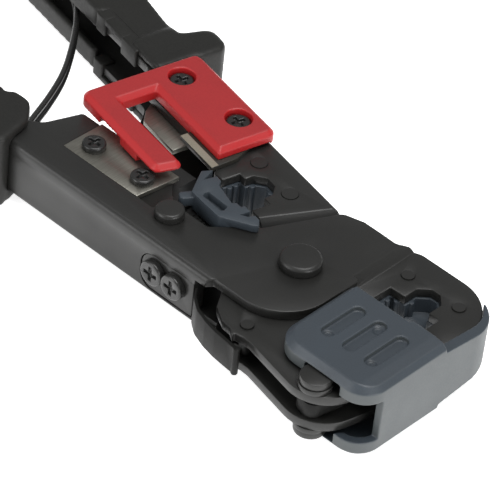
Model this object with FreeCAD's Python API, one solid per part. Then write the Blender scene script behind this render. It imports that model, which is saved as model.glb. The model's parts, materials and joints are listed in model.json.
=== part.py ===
"""Modular plug crimping tool: two pressed-steel levers on one rivet, with dies, cutter, guard and grips.

The frame lever lies along X with its jaw towards +X. The origin is on the main rivet's axis, in the
plane of the rivet's lower head, on which the tool lies. The moving lever is drawn as it stands when the
tool is closed, and is then turned open about the rivet. Heights in this file are measured from the
middle plane between the plates; write() lifts every piece to its place. All sizes are in millimetres.
"""
import FreeCAD, Part

import math
import os

VEC = FreeCAD.Vector

# Stack heights from the middle plane
REST = 8.2             # middle plane above the plane that the tool lies on
INNER_LOW = 2.1        # inside face of the nested plates
LEVER_TOP = 4.0        # outside face of the lever's nested plates
OUTER_LOW = 4.1        # inside face of the outer plates
OUTER_TOP = 6.1        # outside face of the outer plates
SHEET = 2.0            # steel thickness
OPEN_ANGLE = 12.4      # degrees from closed to open

# Frame lever
HANDLE_END = -165.0
WEB_OUT = -16.0        # outside face of the frame's web
WEB_END = -10.8
PLATE_END = -8.3       # where the frame's plates leave the web's line
LIP = -8.8             # edge of the frame's handle flanges
FOLD_R = 1.2
HEAD_X = 31.1
HEAD_Y = 21.2
NOSE_R = 9.7
HEAD_LOW = 5.1
LOBE_R = 10.2
JOGGLE_X = 8.3         # where the frame's outer face starts to step down
JOGGLE_RUN = 1.4
RIVET_R = 3.2
RIVET_HEAD_R = 4.0
RUNNING = 0.06         # radial clearance of the lever on the main rivet

# Cover
COVER_LEFT = 10.9
COVER_FRONT = 33.35
COVER_WALL = 1.65
COVER_OUT = -18.9
COVER_EDGE = 1.7
COVER_STEP = (25.2, 2.4)   # the last part of the cover's inner edge stands further in
COVER_CHAMFER = 1.3
FACET_X = 30.0         # the front of the cover's top falls away from here
FACET_Z = 7.8
COVER_IN_Z = 6.7
SKIRT_Z = 4.5
RIM_FALL = [(0.0, 6.5), (11.0, 5.4), (21.0, 4.4)]   # height of the rim along Y, towards its tip
RIM_R = 9.6
RIM_OUT = 20.3
RIM_TIP = 28.0
NOSE_GAP = 0.1
SLOT_HALF = 1.35
SLOT_DEEP = 0.95
MARK_DEEP = 1.25
MARK_R = 0.95
SLOT_Y = (-12.4, -2.0)
SLOT_MARKS = [(17.0, -11.0), (22.1, -3.6), (27.3, -11.0)]   # round marks in the floors of the slots

# Lever
BACK_OUT = 15.4        # outside face of the lever's back web
BACK_END = -9.6
LEVER_LIP = 6.9        # edge of the lever's handle flanges, and of the grip's lips
LEVER_REST = 8.5       # edge of the flanges inside the grip
GRIP_END = -80.0       # where the lever grip's lips begin
LEVER_FOLD_AT = (-14.4, 1.3)   # where the lever's outer face starts to step down
LEVER_FOLD_ANGLE = 73.1
JAW_OUT = -18.2
JAW_IN = 4.2
JAW_NOSE = 31.0

# Nests
PLUG8_X = (13.4, 25.2)
PLUG8_SHOULDER = 10.0
LATCH8_X = (16.9, 22.7)
LATCH8_TOP = 15.2
PLUG6_U = (-26.9, -16.9)
PLUG6_SHOULDER = 4.8
LATCH6_U = (-25.2, -18.9)
LATCH6_TOP = 8.5
LATCH_CHAMFER = 1.9
NEST_INSET = 0.3
NEST_STOP_T = 1.0      # the 8P nest's latch notch is closed at the far face
NEST_RIB_R = 0.55
NEST8_RIBS = [(13.9, 7.4), (13.9, 8.8), (15.2, 9.9), (17.3, 11.6), (22.3, 11.6), (24.5, 9.6)]
NEST6_RIBS = [(-26.4, 2.2), (-26.4, 3.6), (-24.7, 6.2), (-21.4, 8.1), (-19.4, 6.2), (-17.3, 3.4)]

# Blades and guard
BLADE_TOP = 6.05
BLADE_T = 1.0
GUARD_TOP = 9.5
GUARD_LOW = 6.5
GUARD_SEAT = 7.4       # floor of the guard's screw wells

# Guide over the small nest
GUIDE_LOW = OUTER_TOP + 0.15
GUIDE_TOP = 7.9

# Ratchet leaf
LEAF_T = 0.8
LEAF_WINDOW_X = -24.3
LEAF_LOW = -5.0
LEAF_HIGH = 3.0
LEAF_SCREW_X = [-20.7, -15.5]
LEAF_SCREW_Z = -0.2
LEAF_SCREW_R = 2.6

# Pins, rivets and screws
PIN_SHANK_R = 1.8
SCREW_SHANK_R = 1.2
HEAD_RIVET_R = 1.25
NEST6_RIVET_R = 1.6
JAW_SHANK_R = 2.0
JAW_RING_T = 1.0

# Grips and spring
GRIP_Z = 8.2
SLEEVE_Z = 7.5         # half thickness of the lever grip behind its flange
GRIP_SLOT = 2.6        # half width of the slot between the lever grip's lips
COLLAR_LEFT = -69.5
LOWER_INNER = -7.2     # inner edge of the frame grip
FINGER_PITCH = 22.0
FINGER_R = 32.0
FINGER_DEEP = 0.75
WIRE_R = 0.6
WIRE_Z = 1.15         # the spring's two strands lie this far either side of the middle plane


def corner(before, at, after, radius):
    """Start, middle and end points of the arc that rounds one corner."""
    to_before = (before - at).normalize()
    to_after = (after - at).normalize()
    half = to_before.getAngle(to_after) / 2
    reach = radius / math.tan(half)
    bisector = (to_before + to_after).normalize()
    middle = at + bisector * (radius / math.sin(half) - radius)
    return at + to_before * reach, middle, at + to_after * reach


def outline(points):
    """Closed face through (x, y) points; a third number rounds that corner."""
    at = [VEC(p[0], p[1], 0) for p in points]
    runs = []
    for i, point in enumerate(points):
        if len(point) == 3:
            runs.append(corner(at[i - 1], at[i], at[(i + 1) % len(at)], point[2]))
        else:
            runs.append((at[i],))
    edges = []
    for i, run in enumerate(runs):
        if len(run) == 3:
            edges.append(Part.Arc(*run).toShape())
        following = runs[(i + 1) % len(runs)][0]
        if (following - run[-1]).Length > 1e-6:
            edges.append(Part.LineSegment(run[-1], following).toShape())
    return Part.Face(Part.Wire(edges))


def prism(points, low, high):
    face = outline(points)
    face.translate(VEC(0, 0, low))
    return face.extrude(VEC(0, 0, high - low))


def block(x0, x1, y0, y1, z0, z1):
    return Part.makeBox(x1 - x0, y1 - y0, z1 - z0, VEC(x0, y0, z0))


def disc(x, y, radius, low, high):
    return Part.makeCylinder(radius, high - low, VEC(x, y, low))


def mirrored(shape):
    """The shape and its image in the middle plane."""
    return [shape, shape.mirror(VEC(0, 0, 0), VEC(0, 0, 1))]


def fused(shapes):
    first = shapes[0]
    return first.fuse(shapes[1:]).removeSplitter() if len(shapes) > 1 else first


def cut(shape, tools):
    return shape.cut(fused(tools)) if tools else shape


def opened(shape):
    """A piece of the lever turned from its closed place to its open one."""
    turned = shape.copy()
    turned.rotate(VEC(0, 0, 0), VEC(0, 0, 1), -OPEN_ANGLE)
    return turned


def write(name, shape):
    placed = shape.copy()
    placed.translate(VEC(0, 0, REST))
    placed.exportStep("parts/" + name + ".step")
    print(name, len(placed.Solids), "solids", round(placed.Volume, 1), placed.isValid())


def stepped_sheet(top, at, angle, reach):
    """Flat outer sheet that steps down to an inner one, with its face at top, across a fold line."""
    lag = JOGGLE_RUN / 2
    profile = [(-reach, OUTER_TOP), (-reach, OUTER_LOW), (-lag, OUTER_LOW), (lag, INNER_LOW),
               (reach, INNER_LOW), (reach, top), (JOGGLE_RUN, top), (0, OUTER_TOP)]
    wire = Part.makePolygon([VEC(s, -reach, z) for s, z in profile + profile[:1]])
    sheet = Part.Face(wire).extrude(VEC(0, 2 * reach, 0))
    sheet.rotate(VEC(0, 0, 0), VEC(0, 0, 1), angle - 90)
    sheet.translate(VEC(at[0], at[1], 0))
    return sheet


def cross_recess(x, y, z_top, radius, depth):
    """Cutting tool for a cross-head recess seen from above."""
    arm = radius * 0.62
    slot = radius * 0.16
    return [block(x - arm, x + arm, y - slot, y + slot, z_top - depth, z_top + 1),
            block(x - slot, x + slot, y - arm, y + arm, z_top - depth, z_top + 1)]


def plug_cavity(width, front, shoulder, latch, latch_top, inset, low, high):
    """Plug-shaped pocket, open at the front, with the latch's notch behind it."""
    x0, x1 = width[0] + inset, width[1] - inset
    l0, l1 = latch[0] + inset, latch[1] - inset
    c = LATCH_CHAMFER
    top = latch_top - inset
    points = [(x0, front), (x1, front), (x1, shoulder), (l1, shoulder), (l1, top - c, 0.6),
              (l1 - c, top, 0.6), (l0 + c, top, 0.6), (l0, top - c, 0.6), (l0, shoulder), (x0, shoulder)]
    return prism(points, low, high)


# ---------------------------------------------------------------- frame lever

BLADE_LEFT = -52.4
BLADE_RIGHT = -31.8
BLADE_BACK = -9.0
CUTTER_SCREWS = [(-48.4, -5.0), (-35.7, -4.9)]
GUIDE_PIN = (-25.1, -8.4)
HEAD_RIVETS = [(13.3, 14.8), (25.3, 15.2)]
FRAME_PLATE = [(HANDLE_END, WEB_OUT), (PLATE_END, WEB_OUT), (-7.3, -14.6, 0.8), (9.9, -14.6, LOBE_R),
               (9.9, HEAD_LOW - 0.4), (9.4, HEAD_LOW), (7.65, HEAD_LOW), (7.65, 17.9), (3.2, 18.0),
               (-0.6, 18.0), (-4.9, 16.7, 2.0), (-11.7, 2.2),
               (-18.5, -5.2), (-27.2, -5.2), (-32.9, 0.5), (-57.0, 0.5, 0.8), (-59.7, -7.0, 3.0),
               (-61.7, LIP, 2.5), (HANDLE_END, LIP)]
HEAD_PLATE = [(7.0, HEAD_LOW), (HEAD_X, HEAD_LOW), (HEAD_X, HEAD_Y, NOSE_R), (11.2, HEAD_Y, 2.5),
              (9.0, 20.3, 1.5), (8.2, 18.3, 1.2), (7.0, 17.9)]


def channel_web(x0, x1, y0, y1):
    return block(x0, x1, y0, y1, -OUTER_TOP, OUTER_TOP)


def frame_channel():
    plate = prism(FRAME_PLATE, OUTER_LOW, OUTER_TOP)
    head_sheet = stepped_sheet(OUTER_LOW, (JOGGLE_X, 0), 90, 60)
    head = head_sheet.common(prism(HEAD_PLATE, 0, OUTER_TOP))
    web = channel_web(HANDLE_END, PLATE_END, WEB_OUT, WEB_OUT + SHEET)
    body = fused([web] + mirrored(plate) + mirrored(head))
    body = body.makeFillet(FOLD_R, long_edges(body, WEB_OUT))
    tools = mirrored(plug_cavity(PLUG8_X, 0, PLUG8_SHOULDER, LATCH8_X, LATCH8_TOP, 0, 0, OUTER_TOP))
    tools.append(block(BLADE_LEFT, BLADE_RIGHT + 3, BLADE_BACK, 2, BLADE_TOP - BLADE_T, OUTER_TOP + 1))
    tools.append(disc(0, 0, RIVET_R, -OUTER_TOP - 1, OUTER_TOP + 1))
    tools.append(disc(GUIDE_PIN[0], GUIDE_PIN[1], PIN_SHANK_R, -OUTER_TOP - 1, OUTER_TOP + 1))
    tools += [disc(x, y, SCREW_SHANK_R, OUTER_LOW - 1, OUTER_TOP + 1) for x, y in CUTTER_SCREWS]
    tools += [disc(x, y, HEAD_RIVET_R, -OUTER_TOP, OUTER_TOP) for x, y in HEAD_RIVETS]
    window = block(LEAF_WINDOW_X, 0, WEB_OUT - 1, WEB_OUT + SHEET + 0.01, LEAF_LOW, LEAF_HIGH)
    tools.append(round_left_end(window, 3.0))
    tools.append(block(WEB_END, 0, WEB_OUT - 1, WEB_OUT + SHEET + 0.01, -OUTER_LOW, OUTER_LOW))
    return cut(body, tools)


def round_left_end(body, radius):
    """Round the two edges along Y at a block's low-X end."""
    left = body.BoundBox.XMin
    edges = [edge for edge in body.Edges if edge.BoundBox.XMax < left + 0.01 and edge.BoundBox.YLength > 1]
    return body.makeFillet(radius, edges)


def long_edges(body, y):
    """The two long outside edges of a channel's web."""
    found = []
    for edge in body.Edges:
        box = edge.BoundBox
        flat = abs(box.YMin - y) < 0.01 and abs(box.YMax - y) < 0.01 and box.ZLength < 0.01
        if flat and box.XLength > 60 and abs(abs(box.ZMax) - OUTER_TOP) < 0.01:
            found.append(edge)
    return found


def rivet(x, y, shank_r, head_r, reach, head_t):
    """A pin with a low round head at both ends, reaching the same way up and down."""
    heads = mirrored(disc(x, y, head_r, reach - head_t, reach))
    return fused([disc(x, y, shank_r, -reach + head_t, reach - head_t)] + heads)


def main_rivet():
    body = rivet(0, 0, RIVET_R, RIVET_HEAD_R, REST, REST - OUTER_TOP)
    rims = [edge for edge in body.Edges if abs(abs(edge.BoundBox.ZMax) - REST) < 0.01]
    return body.makeChamfer(0.5, rims)


def nest_8p():
    points = [(11.6, HEAD_LOW + 0.1), (29.0, HEAD_LOW + 0.1), (29.0, 18.6, 5.0), (11.6, 18.6, 3.0)]
    nest = prism(points, -INNER_LOW, INNER_LOW)
    pocket = plug_cavity(PLUG8_X, 0, PLUG8_SHOULDER, LATCH8_X, LATCH8_TOP, NEST_INSET, -3, 3)
    holes = [disc(x, y, HEAD_RIVET_R, -3, 3) for x, y in HEAD_RIVETS]
    ribs = [disc(x, y, NEST_RIB_R, -INNER_LOW, INNER_LOW) for x, y in NEST8_RIBS]
    stop = block(LATCH8_X[0], LATCH8_X[1], PLUG8_SHOULDER + 0.2, LATCH8_TOP,
                 -INNER_LOW, -INNER_LOW + NEST_STOP_T)
    return cut(nest, [pocket] + holes).fuse(ribs + [stop]).removeSplitter()


def nest_8p_rivets():
    flush = OUTER_LOW + 0.15
    return Part.makeCompound([disc(x, y, HEAD_RIVET_R, -flush, flush) for x, y in HEAD_RIVETS])


def cover_block():
    """The cover's outside: a bevelled block over the jaw, and a rim round the nose."""
    points = [(COVER_LEFT, COVER_EDGE), (COVER_LEFT, COVER_OUT, 5.5), (COVER_FRONT, COVER_OUT, 5.0),
              (COVER_FRONT, COVER_STEP[1]), COVER_STEP, (COVER_STEP[0] - 0.5, COVER_EDGE)]
    body = prism(points, -REST, REST)
    bevelled = []
    for edge in body.Edges:
        box = edge.BoundBox
        level = box.ZLength < 0.01 and abs(abs(box.ZMax) - REST) < 0.01
        if level and box.YMin < COVER_EDGE - 1:
            bevelled.append(edge)
    body = body.makeChamfer(COVER_CHAMFER, bevelled)
    side = [(COVER_LEFT - 1, REST), (FACET_X, REST), (COVER_FRONT, FACET_Z), (COVER_FRONT, -FACET_Z),
            (FACET_X, -REST), (COVER_LEFT - 1, -REST)]
    wire = Part.makePolygon([VEC(x, -50, z) for x, z in side + side[:1]])
    body = body.common(Part.Face(wire).extrude(VEC(0, 100, 0)))
    rim = prism([(COVER_FRONT - 12, 0), (COVER_FRONT, 0), (COVER_FRONT, RIM_OUT, RIM_R),
                 (COVER_FRONT - 12, RIM_OUT)], -REST, REST)
    profile = RIM_FALL + [(y, -z) for y, z in reversed(RIM_FALL)]
    wire = Part.makePolygon([VEC(0, y, z) for y, z in profile + profile[:1]])
    rim = rim.common(Part.Face(wire).extrude(VEC(50, 0, 0)))
    nose = prism([(-5, -30), (HEAD_X + NOSE_GAP, -30), (HEAD_X + NOSE_GAP, HEAD_Y + NOSE_GAP, NOSE_R),
                  (-5, HEAD_Y + NOSE_GAP)], -12, 12)
    tip = block(0, RIM_TIP, 10, 30, -12, 12)
    return body.fuse(cut(rim, [nose, tip])).removeSplitter()


def jaw_cover():
    inner_x = COVER_FRONT - COVER_WALL
    inner_y = COVER_OUT + COVER_WALL
    left = COVER_LEFT + COVER_WALL
    hollow = prism([(left, 30), (left, inner_y, 4.0), (inner_x, inner_y, 3.5), (inner_x, COVER_EDGE + 0.5),
                    (HEAD_X + NOSE_GAP, COVER_EDGE + 0.5), (HEAD_X + NOSE_GAP, 4.0), (20, 4.0), (20, 30)],
                   -COVER_IN_Z, COVER_IN_Z)
    tools = [hollow, block(0, inner_x, -40, 2.0, -SKIRT_Z, SKIRT_Z)]
    tools.append(block(inner_x - 1, 50, -40, -14.0, -SKIRT_Z, SKIRT_Z))
    passage = [(18.8, -40), (27.1, -40), (27.1, COVER_OUT), (28.6, inner_y + 0.9), (18.8, inner_y + 0.9)]
    tools += mirrored(prism(passage, SKIRT_Z - 1, COVER_IN_Z))
    for x, mark_y in SLOT_MARKS:
        ends = [(x - SLOT_HALF, SLOT_Y[0]), (x + SLOT_HALF, SLOT_Y[0]), (x + SLOT_HALF, SLOT_Y[1]),
                (x - SLOT_HALF, SLOT_Y[1])]
        tools += mirrored(prism([end + (SLOT_HALF * 0.99,) for end in ends], REST - SLOT_DEEP, REST + 1))
        tools += mirrored(disc(x, mark_y, MARK_R, REST - MARK_DEEP, REST))
    return cut(cover_block(), tools)


def cutter_blade():
    points = [(BLADE_LEFT, BLADE_BACK), (BLADE_RIGHT - 1.2, BLADE_BACK), (BLADE_RIGHT, 1.0),
              (BLADE_LEFT, 1.0)]
    blade = prism(points, BLADE_TOP - BLADE_T, BLADE_TOP)
    return cut(blade, [disc(x, y, SCREW_SHANK_R, 0, 9) for x, y in CUTTER_SCREWS])


def screw(x, y, head_r, head_low, head_top, tip):
    body = disc(x, y, head_r, head_low, head_top)
    rim = [edge for edge in body.Edges if edge.BoundBox.ZMin > head_top - 0.01]
    body = body.makeFillet(0.45, rim)
    body = cut(body, cross_recess(x, y, head_top, head_r, 0.7))
    return body.fuse(disc(x, y, SCREW_SHANK_R, tip, head_low))


def cutter_screws():
    return Part.makeCompound([screw(x, y, 2.3, BLADE_TOP, BLADE_TOP + 1.25, 3.4) for x, y in CUTTER_SCREWS])


GUIDE_OUTLINE = [(-29.0, 3.7), (-26.0, -1.9, 0.8), (-22.2, -2.6, 1.0), (-17.7, -3.3, 1.0), (-12.0, -0.4),
                 (-11.0, 0.4, 0.4), (-12.2, 1.8, 0.4), (-13.5, 2.1), (-14.2, 0.9), (-15.6, 0.1),
                 (-15.0, 2.3), (-16.8, 2.6), (-16.9, 1.9), (-18.3, 2.1), (-18.8, 1.4), (-24.0, 3.3),
                 (-24.6, 4.5), (-26.1, 4.9), (-26.9, 2.5), (-27.8, 5.6)]


def plug_guide():
    """Moulded guide over the small nest: pointed fingers above the plate, and a foot in its notch."""
    fingers = prism(GUIDE_OUTLINE, GUIDE_LOW, GUIDE_TOP)
    slot = prism([(-24.2, 0.4, 0.5), (-23.8, -1.2, 0.5), (-18.2, -1.8, 0.5), (-18.6, 0.0, 0.5)], 5.0, 9.0)
    notch = prism([(-27.2, -5.2), (-18.5, -5.2), (-12.9, 0.4), (-29.0, 0.4), (-29.0, -3.4)],
                  OUTER_LOW, GUIDE_LOW)
    foot = prism(GUIDE_OUTLINE, OUTER_LOW, GUIDE_LOW).common(notch)
    arm = prism([(-26.2, 0.3), (-28.2, -3.0, 0.6), (-26.6, -4.1, 0.6), (-24.8, -1.6)], 5.0, GUIDE_TOP - 1.0)
    plates = prism(FRAME_PLATE, OUTER_LOW, OUTER_TOP)
    return cut(fused([cut(fingers, [slot]), foot, arm]), [plates])


def guide_pin():
    x, y = GUIDE_PIN
    head = disc(x, y, 2.8, OUTER_TOP, 8.0)
    head = head.makeChamfer(0.4, [edge for edge in head.Edges if edge.BoundBox.ZMin > 7.9])
    foot = disc(x, y, 2.6, -OUTER_TOP - 0.8, -OUTER_TOP)
    return fused([head, disc(x, y, PIN_SHANK_R, -OUTER_TOP, OUTER_TOP), foot])


def toothed_die(x0, x1, base, face, teeth, tooth_h, half_z):
    """Crimping punch: a block with a comb of contact teeth on its face."""
    body = block(x0, x1, base, face, -half_z, half_z)
    pitch = 1.02
    first = (x0 + x1) / 2 - pitch * (teeth - 1) / 2
    comb = [block(first + pitch * i - 0.25, first + pitch * i + 0.25, face - 0.1, face + tooth_h,
                  -half_z + 0.3, half_z - 0.3) for i in range(teeth)]
    return fused([body] + comb)


def die_6p():
    """The 6P punch, and the block that holds it and reaches in between the lever's plates."""
    body = toothed_die(-26.6, -17.2, -12.0, -3.6, 6, 1.4, LEVER_TOP)
    backing = block(-26.6, -17.2, -3.6, -1.0, -3.7, 3.5)
    holder = prism([(-39.5, -12.0), (-26.6, -12.0), (-26.6, 0.2), (-31.2, 0.2), (-31.2, 5.0), (-39.5, 5.0)],
                   -LEVER_TOP, LEVER_TOP)
    holes = [disc(x, y, SCREW_SHANK_R + 0.1, 3.2, 9) for x, y in CUTTER_SCREWS]
    holes.append(disc(GUIDE_PIN[0], GUIDE_PIN[1], PIN_SHANK_R, -9, 9))
    return cut(fused([body, backing, holder]), holes)


def leaf_base():
    """Foot of the ratchet leaf: a pad that fills the web's window, on a wider flange behind it."""
    pad = block(LEAF_WINDOW_X + 0.1, WEB_END - 0.3, WEB_OUT + 0.2, WEB_OUT + SHEET, LEAF_LOW + 0.1,
                LEAF_HIGH - 0.1)
    pad = round_left_end(pad, 2.9)
    flange = block(-26.0, WEB_END - 0.3, WEB_OUT + SHEET, WEB_OUT + SHEET + 1.2, -3.9, 3.9)
    holes = [Part.makeCylinder(SCREW_SHANK_R, 9, VEC(x, WEB_OUT - 2, LEAF_SCREW_Z), VEC(0, 1, 0))
             for x in LEAF_SCREW_X]
    return cut(pad.fuse(flange), holes)


def leaf_screws():
    one = screw(0, 0, LEAF_SCREW_R, 0, 1.5, -3.2)
    one.rotate(VEC(0, 0, 0), VEC(1, 0, 0), 90)
    solids = []
    for x in LEAF_SCREW_X:
        placed = one.copy()
        placed.translate(VEC(x, WEB_OUT + 0.2, LEAF_SCREW_Z))
        solids.append(placed)
    return Part.makeCompound(solids)


LEAF_LINE = [(-10.0, -16.2), (-8.4, -18.3), (-5.8, -20.2), (-2.5, -21.35), (0.5, -21.95), (3.4, -22.25),
             (6.0, -22.45)]


def leaf_lip():
    """Spring strip that runs out round the lever's toothed edge and ends in a curl."""
    outer = [(x, y - LEAF_T / 2) for x, y in LEAF_LINE]
    inner = [(x, y + LEAF_T / 2) for x, y in reversed(LEAF_LINE)]
    rounded = [outer[0]] + [p + (4.0,) for p in outer[1:-1]] + [outer[-1], inner[0]]
    rounded += [p + (4.0,) for p in inner[1:-1]] + [inner[-1]]
    strip = prism(rounded, -2.8, 3.2)
    curl = disc(6.1, -22.5, 0.65, -2.8, 3.2)
    return strip.fuse(curl).removeSplitter()


def leaf_pawl():
    tooth = prism([(4.7, -22.5), (5.9, -22.5), (5.9, -21.5, 0.2), (4.7, -21.5, 0.2)], -2.5, 2.9)
    return tooth.cut(leaf_lip())


def finger_hollows(first, edge, side):
    """Cutters for four shallow finger hollows along a grip's edge; side says where the grip is not."""
    return [disc(first - FINGER_PITCH * i, edge + side * (FINGER_R - FINGER_DEEP), FINGER_R, -20, 20)
            for i in range(4)]


def lower_grip():
    points = [(HANDLE_END - 2.0, -19.6, 4.0), (-59.2, -19.6, 1.5), (-58.9, -17.7, 0.8), (-60.4, -10.6, 1.5),
              (-64.6, -6.0, 3.0), (-69.2, -6.3, 1.2), (COLLAR_LEFT, -8.6),
              (COLLAR_LEFT - 1.0, LOWER_INNER, 1.0), (HANDLE_END - 2.0, LOWER_INNER, 4.0)]
    body = prism(points, -GRIP_Z, GRIP_Z)
    tools = finger_hollows(COLLAR_LEFT - 12.0, LOWER_INNER, 1)
    tools.append(block(HANDLE_END, -50, WEB_OUT, LIP, -OUTER_TOP, OUTER_TOP))
    tools.append(block(-69.0, -61.5, LIP - 1, 0, -2.0, 2.0))
    return cut(body, tools)


# ---------------------------------------------------------------- moving lever

JAW_PIN = (25.9, -14.3)
LEVER_RIVET = (7.25, -16.2)
NEST6_RIVETS = [(-27.9, 9.7), (-17.6, 9.7)]
GUARD_SCREWS = [(-53.3, 8.6), (-37.6, 11.2)]
LEVER_PLATE = [(HANDLE_END, LEVER_REST), (GRIP_END - 1, LEVER_REST), (GRIP_END - 1, LEVER_LIP),
               (-62.0, LEVER_LIP, 3.0), (-58.0, 2.7, 2.0), (-30.4, 2.7), (-29.6, 0.7),
               (-12.6, 0.7, 0.6), (-8.0, -4.5, 3.0), (-5.6, -12.0, 4.0), (0.3, -18.1), (2.1, -18.8),
               (4.2, -19.4), (6.3, -19.2), (8.1, -19.9), (8.0, -19.3), (9.7, -18.5), (11.5, JAW_OUT),
               (JAW_NOSE, JAW_OUT, 8.0), (JAW_NOSE, JAW_IN, 1.0), (9.5, JAW_IN, 1.0), (6.6, 5.4, 1.0),
               (-3.5, 14.4, 3.0), (BACK_END + 2.2, BACK_OUT), (HANDLE_END, BACK_OUT)]


def lever_channel():
    sheet = stepped_sheet(LEVER_TOP, LEVER_FOLD_AT, LEVER_FOLD_ANGLE, 190)
    plate = sheet.common(prism(LEVER_PLATE, 0, OUTER_TOP))
    web = channel_web(HANDLE_END, BACK_END - 2.5, BACK_OUT - SHEET, BACK_OUT)
    body = fused([web] + mirrored(plate))
    body = body.makeFillet(FOLD_R, long_edges(body, BACK_OUT))
    tools = mirrored(plug_cavity(PLUG6_U, -1, PLUG6_SHOULDER, LATCH6_U, LATCH6_TOP, 0, 0, OUTER_TOP + 1))
    tools.append(disc(0, 0, RIVET_R + RUNNING, -9, 9))
    tools.append(disc(JAW_PIN[0], JAW_PIN[1], JAW_SHANK_R, -9, 9))
    tools.append(disc(LEVER_RIVET[0], LEVER_RIVET[1], 1.2, -9, 9))
    tools += [disc(x, y, NEST6_RIVET_R, -9, 9) for x, y in NEST6_RIVETS]
    tools += [disc(x, y, SCREW_SHANK_R, 0, 9) for x, y in GUARD_SCREWS]
    return opened(cut(body, tools))


def nest_6p():
    points = [(-29.6, 0.9), (-15.6, 0.9), (-14.4, 12.6, 2.0), (-30.6, 12.6, 2.0), (-30.6, 3.0)]
    nest = prism(points, -OUTER_LOW, OUTER_LOW)
    pocket = plug_cavity(PLUG6_U, -1, PLUG6_SHOULDER, LATCH6_U, LATCH6_TOP, NEST_INSET, -9, 9)
    holes = [disc(x, y, NEST6_RIVET_R, -9, 9) for x, y in NEST6_RIVETS]
    room = prism([(-14.6, -5), (0, -5), (0, 20), (-9.5, 20)], -9, 9)
    ribs = [disc(u, v, NEST_RIB_R, -OUTER_LOW, OUTER_LOW) for u, v in NEST6_RIBS]
    return opened(cut(nest, [pocket, room] + holes).fuse(ribs).removeSplitter())


def nest_6p_rivets():
    flush = OUTER_TOP + 0.08
    return opened(Part.makeCompound([disc(x, y, NEST6_RIVET_R, -flush, flush) for x, y in NEST6_RIVETS]))


def strip_blade_upper():
    blade = prism([(-40.6, 0.2), (-29.7, 0.2), (-29.9, 6.0), (-33.8, 14.2), (-40.6, 14.2)],
                  OUTER_TOP, OUTER_TOP + BLADE_T)
    return opened(cut(blade, [disc(x, y, SCREW_SHANK_R, 0, 9) for x, y in GUARD_SCREWS]))


def strip_blade_lower():
    low = 2.9
    blade = prism([(-53.2, 0.8), (-50.8, -1.2), (-40.6, -1.2), (-40.6, 11.0), (-55.5, 11.0), (-55.5, 4.0)],
                  low, low + 1.05)
    return opened(cut(blade, [disc(x, y, SCREW_SHANK_R, 0, 9) for x, y in GUARD_SCREWS]))


def blade_guard():
    points = [(-58.6, -11.0, 2.0), (-32.2, -11.0, 1.6), (-31.0, -5.2, 1.2), (-52.6, -5.5), (-52.6, 2.4),
              (-31.0, 2.4), (-31.0, 15.7, 1.8), (-58.6, 15.7, 1.8)]
    guard = prism(points, GUARD_LOW, GUARD_TOP)
    foot = prism([(-58.0, 9.3), (-31.9, 9.3), (-31.9, 15.0), (-58.0, 15.0)], OUTER_TOP, GUARD_LOW + 0.2)
    guard = guard.fuse(foot).removeSplitter()
    tools = [block(-51.4, -44.2, -12, -4, 5, 8.0), block(-38.4, -30, -12, -4, 5, 8.0)]
    tools.append(block(-40.8, -29, 0, 14.4, 5, OUTER_TOP + BLADE_T))
    for x, y in GUARD_SCREWS:
        tools.append(disc(x, y, 2.7, GUARD_SEAT, GUARD_TOP + 1))
        tools.append(disc(x, y, SCREW_SHANK_R, 0, GUARD_TOP))
    return opened(cut(guard, tools))


def guard_screws():
    solids = [screw(x, y, 2.4, GUARD_SEAT, GUARD_SEAT + 1.2, 2.9) for x, y in GUARD_SCREWS]
    return opened(Part.makeCompound(solids))


def jaw_pin():
    x, y = JAW_PIN
    reach = LEVER_TOP + JAW_RING_T
    heads = mirrored(disc(x, y, 3.0, reach, 6.5))
    return opened(fused([disc(x, y, JAW_SHANK_R, -reach, reach)] + heads))


def jaw_pin_rings():
    x, y = JAW_PIN
    ring = disc(x, y, 3.2, LEVER_TOP, LEVER_TOP + JAW_RING_T)
    ring = cut(ring, [disc(x, y, JAW_SHANK_R, 0, 9)])
    return opened(Part.makeCompound(mirrored(ring)))


def die_8p():
    body = toothed_die(14.3, 24.3, -9.0, 4.0, 8, 1.6, INNER_LOW - 0.1)
    ear = prism([(21.0, -12.0, 2.0), (23.9, -16.9, 2.4), (28.4, -16.5, 2.2), (28.4, -9.0, 1.0), (24.0, -7.0),
                 (21.0, -7.0)], -1.4, 1.4)
    return opened(cut(body.fuse(ear).removeSplitter(), [disc(JAW_PIN[0], JAW_PIN[1], JAW_SHANK_R, -9, 9)]))


def lever_rivet():
    flush = LEVER_TOP + 0.25
    return opened(disc(LEVER_RIVET[0], LEVER_RIVET[1], 1.2, -flush, flush))


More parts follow.
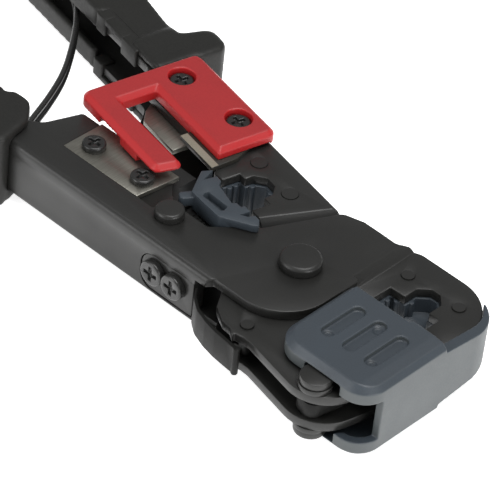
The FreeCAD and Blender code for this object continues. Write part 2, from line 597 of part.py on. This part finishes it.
def upper_grip():
    sleeve = prism([(HANDLE_END - 2.0, LEVER_LIP, 4.0), (GRIP_END, LEVER_LIP, 1.5), (GRIP_END, 18.0),
                    (HANDLE_END - 2.0, 18.0, 4.0)], -SLEEVE_Z, SLEEVE_Z)
    neck = prism([(GRIP_END - 1, LEVER_REST + 0.4), (-66.0, LEVER_REST + 0.4), (-66.0, 17.2, 1.0),
                  (-72.0, 17.0, 4.0), (GRIP_END - 1, 18.0)], -SLEEVE_Z, SLEEVE_Z)
    flange = prism([(-69.0, LEVER_LIP), (-59.0, LEVER_LIP, 1.0), (-59.0, 16.2), (-58.3, 16.4),
                    (-58.4, 23.3, 2.6), (-65.2, 23.4, 2.2), (-67.0, 16.5, 1.0),
                    (-69.0, 16.5)], -GRIP_Z, GRIP_Z)
    hollows = [disc(x, 18.0 + 59.0, 60.0, -20, 20) for x in (-100.0, -138.0)]
    body = cut(fused([sleeve, neck, flange]), hollows)
    tools = [block(HANDLE_END, -50, LEVER_REST, BACK_OUT, -OUTER_TOP, OUTER_TOP),
             block(GRIP_END - 1, -50, LEVER_LIP, BACK_OUT, -OUTER_TOP, OUTER_TOP),
             block(HANDLE_END, -50, 0, LEVER_REST + 0.1, -GRIP_SLOT, GRIP_SLOT)]
    return opened(cut(body, tools))


# ---------------------------------------------------------------- return spring

SPRING_ROUTE = [(-62.5, -12.6), (-63.8, -8.4), (-66.8, -2.1), (-71.1, 7.8), (-78.2, 18.3), (-86.4, 27.6),
                (-94.5, 33.2)]


def spring_arc(before, at, after):
    """Arc as large as its two runs allow."""
    turn = (at - before).getAngle(after - at)
    shorter = min((at - before).Length, (after - at).Length)
    return corner(before, at, after, 0.45 * shorter / math.tan(turn / 2))


def handle_spring():
    """Hairpin of wire: two strands side by side, joined by a cross piece inside the lever grip."""
    route = [VEC(x, y, 0) for x, y in SPRING_ROUTE]
    edges = []
    last = route[0]
    for i in range(1, len(route) - 1):
        start, middle, end = spring_arc(route[i - 1], route[i], route[i + 1])
        edges.append(Part.LineSegment(last, start).toShape())
        edges.append(Part.Arc(start, middle, end).toShape())
        last = end
    edges.append(Part.LineSegment(last, route[-1]).toShape())
    path = Part.Wire(edges)
    section = Part.Wire([Part.makeCircle(WIRE_R, route[0], route[1] - route[0])])
    strand = path.makePipeShell([section], True, False)
    strands = [strand.translated(VEC(0, 0, side * WIRE_Z)) for side in (-1, 1)]
    end = route[-1] - (route[-1] - route[-2]).normalize() * WIRE_R
    joining = disc(end.x, end.y, WIRE_R * 0.8, -WIRE_Z, WIRE_Z)
    return strands[0].fuse(joining).fuse(strands[1])


PIECES = [frame_channel, main_rivet, nest_8p, nest_8p_rivets, jaw_cover, cutter_blade, cutter_screws,
          plug_guide, guide_pin, die_6p, leaf_base, leaf_screws, leaf_lip, leaf_pawl, lower_grip,
          lever_channel, nest_6p, nest_6p_rivets, strip_blade_upper, strip_blade_lower, blade_guard,
          guard_screws, jaw_pin, jaw_pin_rings, die_8p, lever_rivet, upper_grip, handle_spring]

os.makedirs("parts", exist_ok=True)
for piece in PIECES:
    write(piece.__name__, piece())
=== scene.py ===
"""Looks for the modular plug crimping tool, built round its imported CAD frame."""

import json
import math

import bmesh
import bpy
from mathutils import Matrix, Vector


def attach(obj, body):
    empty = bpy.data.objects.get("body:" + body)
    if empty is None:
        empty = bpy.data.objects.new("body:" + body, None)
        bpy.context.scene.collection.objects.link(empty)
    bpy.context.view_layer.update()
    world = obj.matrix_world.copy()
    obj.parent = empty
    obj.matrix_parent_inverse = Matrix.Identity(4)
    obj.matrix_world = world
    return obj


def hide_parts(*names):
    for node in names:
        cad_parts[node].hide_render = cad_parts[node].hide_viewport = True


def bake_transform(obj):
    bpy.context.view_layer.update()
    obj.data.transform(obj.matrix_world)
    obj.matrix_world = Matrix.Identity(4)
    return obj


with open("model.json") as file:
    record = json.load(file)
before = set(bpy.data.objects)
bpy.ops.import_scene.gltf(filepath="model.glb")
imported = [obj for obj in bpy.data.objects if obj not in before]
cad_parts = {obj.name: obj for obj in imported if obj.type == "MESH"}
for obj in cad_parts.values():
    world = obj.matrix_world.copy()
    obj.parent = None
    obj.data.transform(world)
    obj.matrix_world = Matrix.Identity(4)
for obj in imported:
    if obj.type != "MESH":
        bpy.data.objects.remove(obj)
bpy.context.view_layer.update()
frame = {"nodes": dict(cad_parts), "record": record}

MM = 0.001
MIDDLE = 8.2 * MM           # height of the tool's middle plane
OPEN = math.radians(12.4)   # how far the lever stands open at rest
GUARD_SCREWS = [(-53.3, 8.6), (-37.6, 11.2)]
GUARD_TOP = 9.5
WELL_RADIUS = 3.2           # takes in the rim of a guard screw's well


# ---------------------------------------------------------------- node helpers

def new_material(name):
    mat = bpy.data.materials.new(name)
    mat.use_nodes = True
    tree = mat.node_tree
    return mat, tree, tree.nodes["Principled BSDF"]


def add(tree, kind, **values):
    """A node with its inputs set by name; a linked input is given as a socket."""
    node = tree.nodes.new(kind)
    for key, value in values.items():
        if hasattr(node, key) and not isinstance(value, bpy.types.NodeSocket):
            setattr(node, key, value)
            continue
        socket = node.inputs[key.replace("_", " ")]
        if isinstance(value, bpy.types.NodeSocket):
            tree.links.new(value, socket)
        else:
            socket.default_value = value
    return node


def ramp(tree, source, stops):
    """Colour ramp between two (place, colour) stops."""
    node = tree.nodes.new("ShaderNodeValToRGB")
    tree.links.new(source, node.inputs[0])
    for element, (place, color) in zip(node.color_ramp.elements, stops):
        element.position = place
        element.color = color + (1.0,)
    return node.outputs[0]


def grey(value):
    return (value, value, value)


ROUGH_SWING = 0.08          # how far roughness moves to each side of its middle
GRAIN_SHARE = 0.45          # share of the fine grain in the colour mix; broad patches are the rest
PATCH_SCALE = 90.0          # broad patches per metre
BUMP_HEIGHT = 0.00005       # metres


def speckled(name, dark, light, roughness, grain_mm, bump, metallic=0.0, stretch=(1, 1, 1), specular=0.5):
    """Two close colours mixed by fine grain over broad patches, with matching roughness and bump."""
    mat, tree, shader = new_material(name)
    place = add(tree, "ShaderNodeTexCoord").outputs["Object"]
    scaled = add(tree, "ShaderNodeMapping", Vector=place, Scale=stretch).outputs[0]
    grain = add(tree, "ShaderNodeTexNoise", Vector=scaled, Scale=1000.0 / grain_mm, Detail=4.0, Roughness=0.6)
    patch = add(tree, "ShaderNodeTexNoise", Vector=place, Scale=PATCH_SCALE, Detail=3.0, Roughness=0.55)
    both = add(tree, "ShaderNodeMath", operation="MULTIPLY_ADD")
    tree.links.new(grain.outputs[0], both.inputs[0])
    both.inputs[1].default_value = GRAIN_SHARE
    scaled_patch = add(tree, "ShaderNodeMath", operation="MULTIPLY")
    tree.links.new(patch.outputs[0], scaled_patch.inputs[0])
    scaled_patch.inputs[1].default_value = 1.0 - GRAIN_SHARE
    tree.links.new(scaled_patch.outputs[0], both.inputs[2])
    tree.links.new(ramp(tree, both.outputs[0], [(0.36, dark), (0.64, light)]), shader.inputs["Base Color"])
    low, high = roughness - ROUGH_SWING, roughness + ROUGH_SWING
    tree.links.new(ramp(tree, both.outputs[0], [(0.35, grey(high)), (0.65, grey(low))]),
                   shader.inputs["Roughness"])
    shader.inputs["Metallic"].default_value = metallic
    shader.inputs["Specular IOR Level"].default_value = specular
    bumped = add(tree, "ShaderNodeBump", Strength=bump, Distance=BUMP_HEIGHT)
    tree.links.new(grain.outputs[0], bumped.inputs["Height"])
    tree.links.new(bumped.outputs[0], shader.inputs["Normal"])
    return mat


def painted_side_light(mat, color, low, high):
    """Paints light on side faces: color, a lighter tone standing in for the light and reflections the sides
    catch, fades to the material's own as the normal's z goes from low to high.
    """
    tree = mat.node_tree
    shader = tree.nodes["Principled BSDF"]
    own_color = shader.inputs["Base Color"].links[0].from_socket
    normal = add(tree, "ShaderNodeNewGeometry").outputs["Normal"]
    upward = add(tree, "ShaderNodeSeparateXYZ", Vector=normal).outputs["Z"]
    mixed = add(tree, "ShaderNodeMixRGB", Color1=color + (1.0,), Color2=own_color)
    tree.links.new(ramp(tree, upward, [(low, grey(0.0)), (high, grey(1.0))]), mixed.inputs["Fac"])
    tree.links.new(mixed.outputs[0], shader.inputs["Base Color"])


BLACK_STEEL = speckled("black_oxide_steel", (0.012, 0.012, 0.0112), (0.018, 0.018, 0.0168), 0.38, 0.25, 0.08,
                       specular=0.48)
SLATE_LOOK = ((0.033, 0.042, 0.052), (0.041, 0.052, 0.064), 0.44, 0.35, 0.12)
SLATE = speckled("slate_moulding", *SLATE_LOOK)
COVER = speckled("cover_moulding", *SLATE_LOOK)
# Painted light: a lighter colour on the cover's side faces stands in for the reflected light they catch.
painted_side_light(COVER, (0.061, 0.070, 0.073), 0.05, 0.5)
RED = speckled("red_moulding", (0.31, 0.017, 0.019), (0.365, 0.022, 0.024), 0.42, 0.35, 0.10)
# Painted light: a brighter red on the guard's steep faces stands in for the light they catch.
painted_side_light(RED, (0.45, 0.014, 0.016), 0.65, 0.98)
GRIP = speckled("black_grip_moulding", (0.011, 0.011, 0.010), (0.016, 0.016, 0.0145), 0.50, 0.5, 0.18,
                specular=0.33)
BLADE = speckled("ground_blade_steel", (0.20, 0.195, 0.17), (0.32, 0.31, 0.275), 0.36, 0.30, 0.10,
                 metallic=0.85, stretch=(1.0, 0.06, 1.0))
DIE = speckled("machined_die_steel", (0.018, 0.018, 0.018), (0.035, 0.035, 0.034), 0.36, 0.25, 0.12, metallic=0.4)
SCREW = speckled("black_oxide_screw", (0.012, 0.012, 0.012), (0.026, 0.026, 0.025), 0.26, 0.2, 0.1)
SPRING = speckled("oiled_spring_wire", (0.010, 0.010, 0.010), (0.020, 0.020, 0.019), 0.28, 0.2, 0.12,
                  specular=0.8)
BRIGHT = speckled("polished_blade_edge", (0.26, 0.245, 0.19), (0.38, 0.36, 0.29), 0.45, 0.30, 0.10, metallic=0.5)
SHADED = speckled("dark_blade_steel", (0.018, 0.017, 0.014), (0.030, 0.028, 0.023), 0.36, 0.30, 0.08,
                  stretch=(1.0, 0.06, 1.0), specular=0.35)
# Painted shade: a darker, less glossy copy of the black steel, standing in for the shade on the leaf lip and the
# 8P die.
SHADE_DARKENED_STEEL = speckled("shade_darkened_steel", (0.006, 0.006, 0.0055), (0.009, 0.009, 0.0085), 0.46, 0.25, 0.08,
                specular=0.15)
BY_SLOT = {"black_steel": BLACK_STEEL, "slate_plastic": SLATE, "red_plastic": RED, "black_grip": GRIP,
           "blade_steel": BLADE, "die_steel": DIE, "dark_screw": SCREW, "spring_steel": SPRING}


def give(obj, mat):
    obj.data.materials.clear()
    obj.data.materials.append(mat)


SLOT_OF = {row["node"]: row["material_slot"] for row in frame["record"]["subparts"]}
BODY_OF = {node: body for body, nodes in frame["record"]["behaviour"]["bodies"].items() for node in nodes}


def in_frame(x, y, z):
    """A place in the frame, from millimetres off the main rivet in the tool's middle plane."""
    return Vector((x, y, z)) * MM + Vector((0, 0, MIDDLE))


def in_lever(u, v, z):
    """A place on the open lever, given as it lies when closed."""
    return in_frame(u * math.cos(OPEN) + v * math.sin(OPEN), v * math.cos(OPEN) - u * math.sin(OPEN), z)


def stand_in(node, mesh):
    """An object for mesh that stands for a CAD node, in its place on its body."""
    piece = bpy.data.objects.new(node + "_finished", mesh)
    bpy.context.collection.objects.link(piece)
    for face in mesh.polygons:
        face.use_smooth = True
    give(piece, BY_SLOT[SLOT_OF[node]])
    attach(piece, BODY_OF[node])
    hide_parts(node)
    return piece


SHARP_EDGE = math.radians(35)       # an edge that turns more than this is rounded
SHADED_EDGE = math.radians(30)      # an edge that turns more than this is shaded as an edge
SQUARE_EDGE = math.radians(60)      # an edge that turns more than this is a rim of the guard's top
NEARLY_FLAT = math.radians(0.6)


def mesh_of(node):
    """The CAD node's mesh, in its place."""
    source = frame["nodes"][node]
    mesh = source.data.copy()
    mesh.transform(source.matrix_world)
    return mesh


def joined_faces(mesh):
    """The mesh opened for work, with its flat faces made whole."""
    work = bmesh.new()
    work.from_mesh(mesh)
    bmesh.ops.remove_doubles(work, verts=work.verts, dist=0.001 * MM)
    bmesh.ops.dissolve_limit(work, angle_limit=NEARLY_FLAT, verts=work.verts, edges=work.edges)
    return work


def softened(node, width_mm):
    """A finished copy of a CAD node with its sharp edges rounded."""
    mesh = mesh_of(node)
    work = joined_faces(mesh)
    sharp = [e for e in work.edges if len(e.link_faces) == 2 and e.calc_face_angle(0.0) > SHARP_EDGE]
    bmesh.ops.bevel(work, geom=sharp, offset=width_mm * MM, offset_type="OFFSET", segments=2, profile=0.5,
                    affect="EDGES", clamp_overlap=False, harden_normals=False)
    bmesh.ops.triangulate(work, faces=[f for f in work.faces if len(f.verts) > 4])
    work.to_mesh(mesh)
    work.free()
    piece = stand_in(node, mesh)
    mesh.set_sharp_from_angle(angle=SHADED_EDGE)
    return piece


def in_screw_well(edge):
    middle = (edge.verts[0].co + edge.verts[1].co) / 2
    return any((middle - in_lever(u, v, GUARD_TOP)).length < WELL_RADIUS * MM for u, v in GUARD_SCREWS)


def chamfered_top(mesh, width_mm):
    """Chamfers the edges round the guard's highest face, all but the screw wells'."""
    work = joined_faces(mesh)
    top = max(v.co.z for v in work.verts)
    rim = [e for e in work.edges if all(v.co.z > top - 0.01 * MM for v in e.verts)
           and e.calc_face_angle(0.0) > SQUARE_EDGE and not in_screw_well(e)]
    bmesh.ops.bevel(work, geom=rim, offset=width_mm * MM, offset_type="OFFSET", segments=1, profile=0.5,
                    affect="EDGES", clamp_overlap=False)
    work.to_mesh(mesh)
    work.free()


def fill_core(mesh, low, high):
    """Adds a block inside the mesh, where steel that is never seen fills it."""
    work = bmesh.new()
    work.from_mesh(mesh)
    for vert in bmesh.ops.create_cube(work, size=1.0)["verts"]:
        vert.co = Vector([b if c > 0 else a for c, a, b in zip(vert.co, low, high)])
    work.to_mesh(mesh)
    work.free()


TRIAL_RATIO = 0.5


def melted(node, voxel_mm, passes, faces, chamfer_mm=0.0, core=None):
    """A finished copy of a moulded CAD node, every edge well rounded, thinned to about that many faces."""
    mesh = mesh_of(node)
    if chamfer_mm:
        chamfered_top(mesh, chamfer_mm)
    if core:
        fill_core(mesh, *core)
    shaped = bpy.data.objects.new("shaping", mesh)
    bpy.context.collection.objects.link(shaped)
    remesh = shaped.modifiers.new("remesh", "REMESH")
    remesh.mode = "VOXEL"
    remesh.voxel_size = voxel_mm * MM
    smooth = shaped.modifiers.new("smooth", "SMOOTH")
    smooth.factor = 0.5
    smooth.iterations = passes
    thin = shaped.modifiers.new("thin", "DECIMATE")
    thin.ratio = TRIAL_RATIO
    evaluated = shaped.evaluated_get(bpy.context.evaluated_depsgraph_get())
    thin.ratio = min(1.0, TRIAL_RATIO * faces / len(evaluated.data.polygons))
    evaluated = shaped.evaluated_get(bpy.context.evaluated_depsgraph_get())
    result = bpy.data.meshes.new_from_object(evaluated)
    bpy.data.objects.remove(shaped)
    return stand_in(node, result)


for node_name, node_object in frame["nodes"].items():
    give(node_object, BY_SLOT[SLOT_OF[node_name]])


# Width of each node's rounded edges, in mm.
EDGES = {"frame_channel": 0.22, "lever_channel": 0.22, "main_rivet": 0.2, "nest_8p": 0.12, "nest_6p": 0.12,
         "cutter_blade": 0.1, "strip_blade_lower": 0.1, "plug_guide": 0.15, "guide_pin": 0.15,
         "leaf_base": 0.15, "jaw_pin": 0.3, "jaw_pin_rings": 0.15, "cutter_screws": 0.12,
         "guard_screws": 0.12, "leaf_screws": 0.12}
HANDLE_CORE = (in_frame(-166, -16.5, -6.6), in_frame(-64, -8.4, 6.6))
for node_name, edge_width in EDGES.items():
    softened(node_name, edge_width)
melted("lower_grip", 0.5, 14, 30000, core=HANDLE_CORE)
melted("upper_grip", 0.5, 14, 30000)
give(melted("jaw_cover", 0.16, 5, 70000), COVER)
melted("blade_guard", 0.2, 6, 40000, chamfer_mm=1.0)
give(softened("strip_blade_upper", 0.1), SHADED)
# Painted shade: the leaf lip and the 8P die take the shade-darkened steel.
give(softened("leaf_lip", 0.2), SHADE_DARKENED_STEEL)
give(softened("die_8p", 0.1), SHADE_DARKENED_STEEL)


# ---------------------------------------------------------------- wire spring, ground edge and grip lips

def smooth_route(corners, per_span):
    """Points along a Catmull-Rom curve through the corners."""
    padded = [corners[0] * 2 - corners[1]] + corners + [corners[-1] * 2 - corners[-2]]
    route = []
    for i in range(1, len(padded) - 2):
        p0, p1, p2, p3 = padded[i - 1:i + 3]
        for step in range(per_span):
            t = step / per_span
            route.append(0.5 * (2 * p1 + (p2 - p0) * t + (2 * p0 - 5 * p1 + 4 * p2 - p3) * t * t
                                + (3 * p1 - p0 - 3 * p2 + p3) * t ** 3))
    return route + [corners[-1]]


def tube_mesh(name, route, radius, sides):
    """Closed round tube along a route, turning as little as it can."""
    verts = []
    side = Vector((0, 0, 1))
    for i, at in enumerate(route):
        ahead = (route[min(i + 1, len(route) - 1)] - route[max(i - 1, 0)]).normalized()
        side = (side - ahead * side.dot(ahead)).normalized()
        across = side.cross(ahead)
        for k in range(sides):
            angle = math.tau * k / sides
            verts.append(at + (across * math.cos(angle) + side * math.sin(angle)) * radius)
    faces = [[i * sides + k, i * sides + (k + 1) % sides, (i + 1) * sides + (k + 1) % sides, (i + 1) * sides + k]
             for i in range(len(route) - 1) for k in range(sides)]
    faces += [list(range(sides)), list(range(len(verts) - 1, len(verts) - 1 - sides, -1))]
    mesh = bpy.data.meshes.new(name)
    mesh.from_pydata(verts, [], faces)
    for face in mesh.polygons:
        face.use_smooth = len(face.vertices) == 4
    return mesh


WIRE_APART = 1.15 * MM      # each strand of the hairpin to the middle plane
WIRE_RADIUS = 0.6 * MM
WIRE_SIDES = 16
WIRE_STEPS = 8              # points on the curve for each of its corners
HAIRPIN_REACH = 0.8 * WIRE_APART
WIRE_CORNERS = [(-62.5, -12.6), (-64.2, -8.4), (-66.4, -3.4), (-69.0, 3.0), (-72.4, 9.9), (-76.4, 15.9),
                (-82.0, 22.9), (-88.0, 28.9), (-94.5, 33.2)]


def wire_spring():
    """The return spring: two strands from the lower grip, joined by a bend inside the upper one."""
    strand = smooth_route([in_frame(x, y, 0) for x, y in WIRE_CORNERS], WIRE_STEPS)
    bend = (strand[-1] - strand[-2]).normalized() * HAIRPIN_REACH
    apart = Vector((0, 0, WIRE_APART))
    route = [at + apart for at in strand] + [strand[-1] + bend] + [at - apart for at in reversed(strand)]
    wire = bpy.data.objects.new("wire_spring", tube_mesh("wire_spring", route, WIRE_RADIUS, WIRE_SIDES))
    bpy.context.collection.objects.link(wire)
    give(wire, SPRING)
    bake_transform(wire)
    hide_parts("handle_spring")


BEVEL_TOP = 7.13
BEVEL_T = 0.3
BEVEL_CORNERS = [(-40.5, 0.22), (-29.75, 0.22), (-29.8, 1.75), (-40.5, 1.75)]


def ground_edge():
    """The polished bevel along the upper stripping blade's edge."""
    verts = [in_lever(u, v, z) for z in (BEVEL_TOP - BEVEL_T, BEVEL_TOP) for u, v in BEVEL_CORNERS]
    faces = [(3, 2, 1, 0), (4, 5, 6, 7)] + [(i, (i + 1) % 4, 4 + (i + 1) % 4, 4 + i) for i in range(4)]
    mesh = bpy.data.meshes.new("ground_edge")
    mesh.from_pydata(verts, [], faces)
    strip = bpy.data.objects.new("ground_edge", mesh)
    bpy.context.collection.objects.link(strip)
    give(strip, BRIGHT)
    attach(strip, "lever")


LIP_V = (6.35, 9.4)
LIP_EDGE = 0.35 * MM
LIP_OUTSIDE = 7.5
# Each run of a lip as its two ends along the lever and its inner side's height off the middle plane.
LIP_RUNS = [(-80.4, -77.2, 3.45), (-77.6, -71.0, 6.15), (-71.4, -66.0, 3.45)]


def grip_lips():
    """The upper grip's lips over the handle's steel edges, with a window in each between its end runs."""
    work = bmesh.new()
    for side in (-1, 1):
        for u0, u1, inside in LIP_RUNS:
            for vert in bmesh.ops.create_cube(work, size=1.0)["verts"]:
                u = u0 if vert.co.x < 0 else u1
                v = LIP_V[0] if vert.co.y < 0 else LIP_V[1]
                z = side * (inside if vert.co.z < 0 else LIP_OUTSIDE)
                vert.co = in_lever(u, v, z)
    bmesh.ops.recalc_face_normals(work, faces=work.faces)
    bmesh.ops.bevel(work, geom=work.edges[:], offset=LIP_EDGE, offset_type="OFFSET", segments=3, profile=0.5,
                    affect="EDGES")
    mesh = bpy.data.meshes.new("grip_lips")
    work.to_mesh(mesh)
    work.free()
    for face in mesh.polygons:
        face.use_smooth = True
    lips = bpy.data.objects.new("grip_lips", mesh)
    bpy.context.collection.objects.link(lips)
    give(lips, GRIP)
    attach(lips, "lever")


wire_spring()
ground_edge()
grip_lips()


# ---------------------------------------------------------------- camera, floor and light

AZIMUTH = math.radians(39.62)
ELEVATION = math.radians(40.04)
ROLL = math.radians(6.65)
LENS = 244.8
CAMERA_PLACE = (0.29171, -0.36701, 0.40205 + MIDDLE)


def place_camera():
    back = Vector((math.sin(AZIMUTH) * math.cos(ELEVATION), -math.cos(AZIMUTH) * math.cos(ELEVATION),
                   math.sin(ELEVATION)))
    across = Vector((0, 0, 1)).cross(back).normalized()
    up = back.cross(across)
    right = across * math.cos(ROLL) + up * math.sin(ROLL)
    top = up * math.cos(ROLL) - across * math.sin(ROLL)
    data = bpy.data.cameras.new("camera")
    data.sensor_width = 36.0
    data.lens = LENS
    data.clip_end = 20.0
    camera = bpy.data.objects.new("camera", data)
    bpy.context.collection.objects.link(camera)
    turn = Matrix((right, top, back)).transposed().to_4x4()
    camera.matrix_world = Matrix.Translation(CAMERA_PLACE) @ turn
    bpy.context.scene.camera = camera


def area_light(name, place, target, size, power):
    data = bpy.data.lights.new(name, "AREA")
    data.shape = "DISK"
    data.size = size
    data.energy = power
    light = bpy.data.objects.new(name, data)
    bpy.context.collection.objects.link(light)
    light.location = place
    light.rotation_euler = (Vector(target) - Vector(place)).to_track_quat("-Z", "Y").to_euler()


FLOOR_HALF = 3.0
FLOOR_GLOW = 0.8
WORLD_GLOW = 0.30


def pale_floor():
    mesh = bpy.data.meshes.new("floor")
    corners = [(x * FLOOR_HALF, y * FLOOR_HALF, 0) for x, y in [(-1, -1), (1, -1), (1, 1), (-1, 1)]]
    mesh.from_pydata(corners, [], [(0, 1, 2, 3)])
    floor = bpy.data.objects.new("floor", mesh)
    bpy.context.collection.objects.link(floor)
    mat, _, shader = new_material("pale_floor")
    shader.inputs["Base Color"].default_value = (0.92, 0.92, 0.92, 1)
    shader.inputs["Roughness"].default_value = 0.9
    shader.inputs["Emission Color"].default_value = (1, 1, 1, 1)
    shader.inputs["Emission Strength"].default_value = FLOOR_GLOW
    floor.data.materials.append(mat)


def studio_light():
    world = bpy.data.worlds.new("studio")
    world.use_nodes = True
    background = world.node_tree.nodes["Background"]
    background.inputs["Color"].default_value = (1, 1, 1, 1)
    background.inputs["Strength"].default_value = WORLD_GLOW
    bpy.context.scene.world = world
    area_light("key", place=(0.18, 0.05, 0.95), target=(-0.02, 0.0, 0.0), size=0.8, power=7.5)
    area_light("side", place=(0.85, -0.10, 0.22), target=(0.0, 0.0, 0.0), size=0.4, power=3.0)
    area_light("fill", place=(-0.35, -0.75, 0.40), target=(-0.02, 0.0, 0.0), size=0.6, power=3.0)


place_camera()
pale_floor()
studio_light()
bpy.context.scene.view_settings.view_transform = "Standard"
